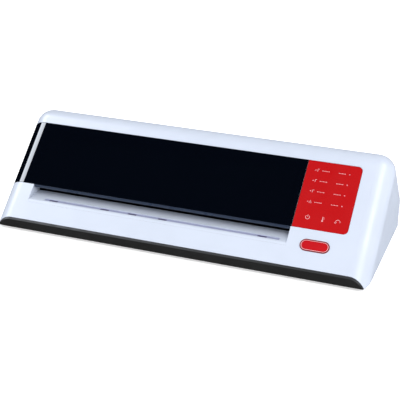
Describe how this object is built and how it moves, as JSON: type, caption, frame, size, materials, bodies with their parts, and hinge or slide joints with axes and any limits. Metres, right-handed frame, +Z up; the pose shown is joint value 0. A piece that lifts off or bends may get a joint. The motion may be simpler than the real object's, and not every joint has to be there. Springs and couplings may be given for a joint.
{
  "type": "pouch laminator",
  "caption": "Wedge-shaped desktop pouch laminator: white cover, black front fascia over the feed slot, red touch panel, dark base; heated and pull roller pairs inside.",
  "frame": {"origin": "on the table, under the middle of the machine's box", "axes": "+X along the machine to the control panel's side, -Y is the feeding side, +Z up"},
  "size_m": [0.5132, 0.212, 0.1235],
  "materials": {
    "cover_white": "glossy moulded ABS, cool white",
    "fascia_black": "high-gloss black acrylic-look panel",
    "visor_grey": "glossy dark edge strip",
    "overlay_red": "printed glossy red overlay",
    "light_lens": "translucent light pipes",
    "pad_foam": "sensor pads",
    "base_dark": "fine-grain moulded ABS",
    "guide_black": "heat-proof moulded guides",
    "foot_rubber": "matt rubber",
    "screw_steel": "zinc plated",
    "frame_steel": "zinc-plated sheet steel",
    "bush_brass": "sintered bronze and brass",
    "spring_steel": "spring steel wire",
    "core_steel": "turned steel",
    "hot_silicone": "red-brown heat-proof silicone",
    "pull_silicone": "dark grey silicone",
    "gear_nylon": "natural acetal",
    "motor_steel": "plated motor can",
    "shoe_aluminium": "mill finish",
    "heater_mica": "mica and phenolic",
    "board_green": "solder-mask green glass fibre",
    "socket_black": "black thermoplastic",
    "rocker_red": "glossy rocker"
  },
  "bodies": {
    "casing": {"top_cover": "cover_white", "fascia_panel": "fascia_black", "visor_strip": "visor_grey", "control_overlay": "overlay_red", "status_lights": "light_lens", "touch_keys": "pad_foam", "badge": "overlay_red", "feed_table": "cover_white", "entry_guide_lower": "guide_black", "entry_guide_upper": "guide_black", "base_pan": "base_dark", "rubber_feet": "foot_rubber", "base_screws": "screw_steel", "exit_frame": "base_dark", "exit_guide_lower": "guide_black", "exit_guide_upper": "guide_black", "transfer_guide_lower": "guide_black", "transfer_guide_upper": "guide_black", "frame_left": "frame_steel", "frame_right": "frame_steel", "cross_bars": "frame_steel", "frame_screws": "screw_steel", "lower_bushes": "bush_brass", "hot_springs": "spring_steel", "pull_springs": "spring_steel", "spring_seats": "frame_steel", "idler_post": "frame_steel", "drive_motor": "motor_steel", "motor_bracket": "frame_steel", "motor_screws": "screw_steel", "upper_heat_shoe": "shoe_aluminium", "lower_heat_shoe": "shoe_aluminium", "upper_heater_film": "heater_mica", "lower_heater_film": "heater_mica", "heat_shield": "frame_steel", "thermostat": "heater_mica", "thermal_fuse": "heater_mica", "control_board": "board_green", "power_board": "board_green", "power_inlet": "socket_black", "rocker_housing": "socket_black", "board_screws": "screw_steel"},
    "hot_lower": {"hot_lower_core": "core_steel", "hot_lower_sleeve": "hot_silicone", "hot_lower_gear": "gear_nylon"},
    "hot_carrier": {"hot_upper_bushes": "bush_brass"},
    "hot_upper": {"hot_upper_core": "core_steel", "hot_upper_sleeve": "hot_silicone", "hot_upper_gear": "gear_nylon"},
    "pull_lower": {"pull_lower_core": "core_steel", "pull_lower_sleeve": "pull_silicone", "pull_lower_gear": "gear_nylon"},
    "pull_carrier": {"pull_upper_bushes": "bush_brass"},
    "pull_upper": {"pull_upper_core": "core_steel", "pull_upper_sleeve": "pull_silicone", "pull_upper_gear": "gear_nylon"},
    "idler": {"idler_gear": "gear_nylon"},
    "pinion": {"drive_pinion": "bush_brass"},
    "rocker": {"power_rocker": "rocker_red"}
  },
  "joints": [
    {"name": "hot_lower_spin", "type": "hinge", "parent": "casing", "child": "hot_lower", "pos_m": [-0.0295, -0.008, 0.025], "axis": [1, 0, 0], "continuous": true},
    {"name": "hot_nip_lift", "type": "slide", "parent": "casing", "child": "hot_carrier", "axis": [0, 0, 1], "range_m": [0, 0.001], "stiffness_N_per_m": 8000, "springref_m": -0.004, "deforming": ["hot_springs"]},
    {"name": "hot_upper_spin", "type": "hinge", "parent": "hot_carrier", "child": "hot_upper", "pos_m": [-0.0295, -0.008, 0.055], "axis": [1, 0, 0], "continuous": true},
    {"name": "pull_lower_spin", "type": "hinge", "parent": "casing", "child": "pull_lower", "pos_m": [-0.0295, 0.048, 0.0275], "axis": [1, 0, 0], "continuous": true},
    {"name": "pull_nip_lift", "type": "slide", "parent": "casing", "child": "pull_carrier", "axis": [0, 0, 1], "range_m": [0, 0.001], "stiffness_N_per_m": 8000, "springref_m": -0.004, "deforming": ["pull_springs"]},
    {"name": "pull_upper_spin", "type": "hinge", "parent": "pull_carrier", "child": "pull_upper", "pos_m": [-0.0295, 0.048, 0.0525], "axis": [1, 0, 0], "continuous": true},
    {"name": "idler_spin", "type": "hinge", "parent": "casing", "child": "idler", "pos_m": [0.1585, 0.021, 0.0327], "axis": [1, 0, 0], "continuous": true},
    {"name": "pinion_spin", "type": "hinge", "parent": "casing", "child": "pinion", "pos_m": [0.1585, 0.021, 0.0552], "axis": [1, 0, 0], "continuous": true},
    {"name": "power_switch", "type": "hinge", "parent": "casing", "child": "rocker", "pos_m": [0.161, 0.102, 0.03], "axis": [0, 0, 1], "range_deg": [0, 18]}
  ],
  "couplings": [
    {"joint": "hot_upper_spin", "follows": "hot_lower_spin", "ratio": -1},
    {"joint": "idler_spin", "follows": "hot_lower_spin", "ratio": -1},
    {"joint": "pull_lower_spin", "follows": "hot_lower_spin", "ratio": 1.2},
    {"joint": "pull_upper_spin", "follows": "hot_lower_spin", "ratio": -1.2},
    {"joint": "pinion_spin", "follows": "hot_lower_spin", "ratio": 2}
  ]
}
